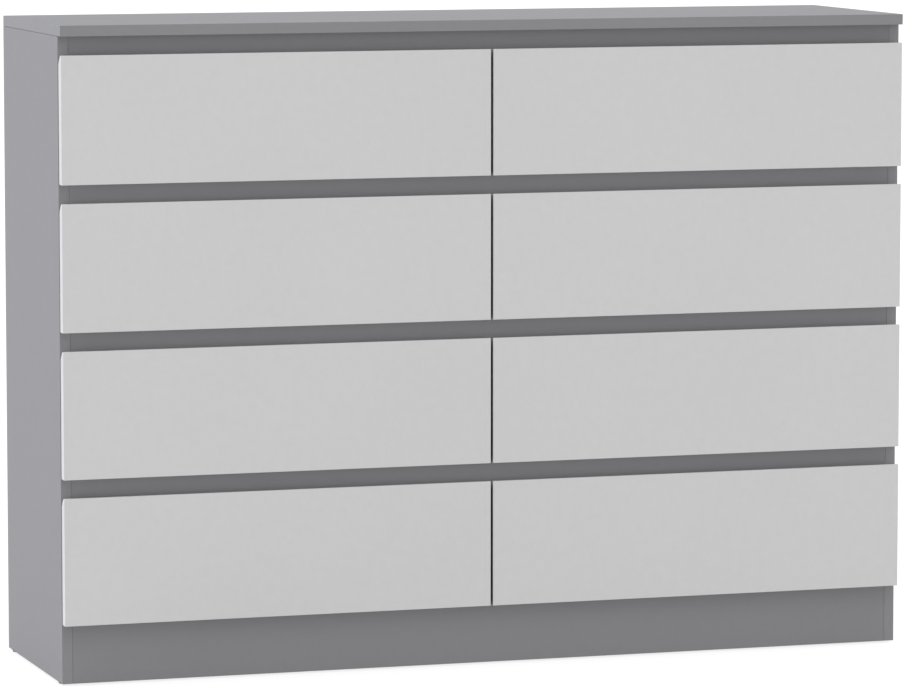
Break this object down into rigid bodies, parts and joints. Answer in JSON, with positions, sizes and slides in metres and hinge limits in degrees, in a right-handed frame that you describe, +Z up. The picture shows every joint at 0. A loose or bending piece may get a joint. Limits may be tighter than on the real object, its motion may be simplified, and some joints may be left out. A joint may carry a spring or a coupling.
{
  "type": "dresser with drawers",
  "caption": "Wide handleless dresser: side-by-side columns of overlay-front drawers in a plain board carcass on a plinth, each pulled by the finger groove above its front.",
  "frame": {"origin": "centre of the footprint at floor level, under the glides", "axes": "+X to the viewer's right along the width, +Y from the drawer fronts to the back, +Z up; the fronts face -Y"},
  "size_m": [1.33, 0.375, 0.98],
  "materials": {
    "carcass_board": "plain grey melamine laminate, finely textured, satin",
    "front_board": "plain pale grey melamine laminate, finely textured, satin",
    "drawer_wrap": "white foil-wrapped board, satin",
    "drawer_hardboard": "white-lacquered hardboard, faint fibre texture",
    "back_hardboard": "raw brown hardboard, matt; white lacquer on the face inside the chest",
    "strip_plastic": "cream extruded plastic",
    "runner_plastic": "white moulded plastic, satin",
    "glide_plastic": "dark moulded plastic"
  },
  "bodies": {
    "carcass": {"top_panel": "carcass_board", "side_panel_left": "carcass_board", "side_panel_right": "carcass_board", "bottom_panel": "carcass_board", "plinth_front": "carcass_board", "plinth_rear": "carcass_board", "centre_support": "carcass_board", "centre_partition": "carcass_board", "rail_top": "carcass_board", "rail_upper": "carcass_board", "rail_middle": "carcass_board", "rail_lower": "carcass_board", "back_panel_left": "back_hardboard", "back_panel_right": "back_hardboard", "back_joining_strip": "strip_plastic", "glide_front_left": "glide_plastic", "glide_front_right": "glide_plastic", "glide_rear_left": "glide_plastic", "glide_rear_right": "glide_plastic", "glide_centre": "glide_plastic", "runner_left_1_outer": "runner_plastic", "runner_left_1_inner": "runner_plastic", "runner_left_2_outer": "runner_plastic", "runner_left_2_inner": "runner_plastic", "runner_left_3_outer": "runner_plastic", "runner_left_3_inner": "runner_plastic", "runner_left_4_outer": "runner_plastic", "runner_left_4_inner": "runner_plastic", "runner_right_1_outer": "runner_plastic", "runner_right_1_inner": "runner_plastic", "runner_right_2_outer": "runner_plastic", "runner_right_2_inner": "runner_plastic", "runner_right_3_outer": "runner_plastic", "runner_right_3_inner": "runner_plastic", "runner_right_4_outer": "runner_plastic", "runner_right_4_inner": "runner_plastic"},
    "drawer_left_1": {"drawer_front_left_1": "front_board", "drawer_box_left_1": "drawer_wrap", "drawer_bottom_left_1": "drawer_hardboard"},
    "drawer_left_2": {"drawer_front_left_2": "front_board", "drawer_box_left_2": "drawer_wrap", "drawer_bottom_left_2": "drawer_hardboard"},
    "drawer_left_3": {"drawer_front_left_3": "front_board", "drawer_box_left_3": "drawer_wrap", "drawer_bottom_left_3": "drawer_hardboard"},
    "drawer_left_4": {"drawer_front_left_4": "front_board", "drawer_box_left_4": "drawer_wrap", "drawer_bottom_left_4": "drawer_hardboard"},
    "drawer_right_1": {"drawer_front_right_1": "front_board", "drawer_box_right_1": "drawer_wrap", "drawer_bottom_right_1": "drawer_hardboard"},
    "drawer_right_2": {"drawer_front_right_2": "front_board", "drawer_box_right_2": "drawer_wrap", "drawer_bottom_right_2": "drawer_hardboard"},
    "drawer_right_3": {"drawer_front_right_3": "front_board", "drawer_box_right_3": "drawer_wrap", "drawer_bottom_right_3": "drawer_hardboard"},
    "drawer_right_4": {"drawer_front_right_4": "front_board", "drawer_box_right_4": "drawer_wrap", "drawer_bottom_right_4": "drawer_hardboard"}
  },
  "joints": [
    {"name": "slide_left_1", "type": "slide", "parent": "carcass", "child": "drawer_left_1", "axis": [0, -1, 0], "range_m": [0, 0.24]},
    {"name": "slide_left_2", "type": "slide", "parent": "carcass", "child": "drawer_left_2", "axis": [0, -1, 0], "range_m": [0, 0.24]},
    {"name": "slide_left_3", "type": "slide", "parent": "carcass", "child": "drawer_left_3", "axis": [0, -1, 0], "range_m": [0, 0.24]},
    {"name": "slide_left_4", "type": "slide", "parent": "carcass", "child": "drawer_left_4", "axis": [0, -1, 0], "range_m": [0, 0.24]},
    {"name": "slide_right_1", "type": "slide", "parent": "carcass", "child": "drawer_right_1", "axis": [0, -1, 0], "range_m": [0, 0.24]},
    {"name": "slide_right_2", "type": "slide", "parent": "carcass", "child": "drawer_right_2", "axis": [0, -1, 0], "range_m": [0, 0.24]},
    {"name": "slide_right_3", "type": "slide", "parent": "carcass", "child": "drawer_right_3", "axis": [0, -1, 0], "range_m": [0, 0.24]},
    {"name": "slide_right_4", "type": "slide", "parent": "carcass", "child": "drawer_right_4", "axis": [0, -1, 0], "range_m": [0, 0.24]}
  ]
}
